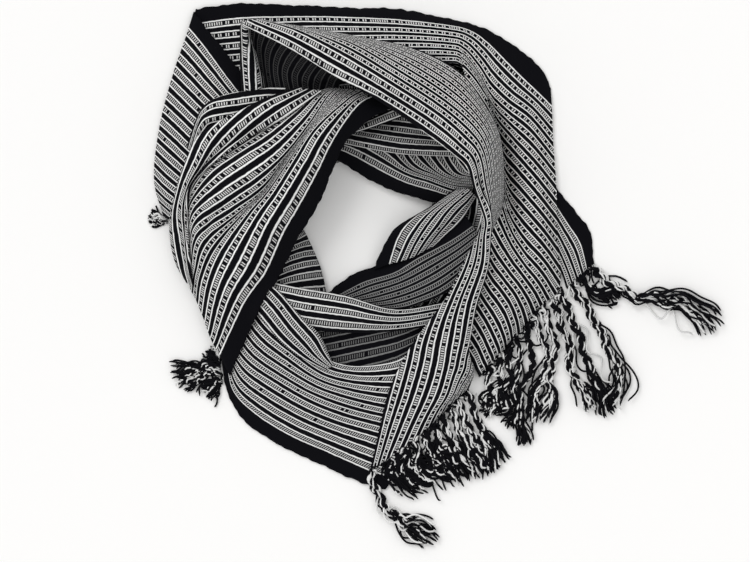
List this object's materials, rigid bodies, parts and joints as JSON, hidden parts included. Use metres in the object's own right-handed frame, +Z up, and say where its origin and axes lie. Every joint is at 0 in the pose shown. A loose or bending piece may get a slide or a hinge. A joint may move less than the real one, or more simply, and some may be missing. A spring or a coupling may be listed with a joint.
{
  "type": "wound cotton scarf",
  "caption": "Hand-woven striped cotton scarf with knotted fringes, wound in a loop and dropped flat on a surface.",
  "frame": {"origin": "the middle of the whole scarf seen from above, on the surface that it lies on", "axes": "+X to the right and +Y away at the back as the scarf lies, +Z up from the surface"},
  "size_m": [0.5624, 0.5341, 0.0806],
  "materials": {
    "woven_cloth": "matt plain-woven cotton, black and white stripes along its length",
    "shaded_cloth": "the same matt striped cotton, inside the loop",
    "fringe_yarn": "matt twisted cotton yarns, black and white"
  },
  "bodies": {
    "root": {"hidden_layers": "shaded_cloth", "tail_layer": "woven_cloth", "inner_fold_left": "shaded_cloth", "inner_layer_upper": "shaded_cloth", "inner_band_right": "shaded_cloth", "inner_fold_right": "shaded_cloth", "inner_layer_deep": "shaded_cloth", "inner_band": "woven_cloth", "back_band": "woven_cloth", "right_fan": "woven_cloth", "left_panel": "woven_cloth", "corner_leg": "woven_cloth", "lower_panel": "woven_cloth", "front_roll": "woven_cloth", "front_strip": "woven_cloth", "top_fold": "woven_cloth", "fringe_tail": "fringe_yarn", "fringe_fan": "fringe_yarn", "fringe_front": "fringe_yarn", "tuft_left_low": "fringe_yarn", "tuft_left_high": "fringe_yarn"}
  },
  "joints": []
}
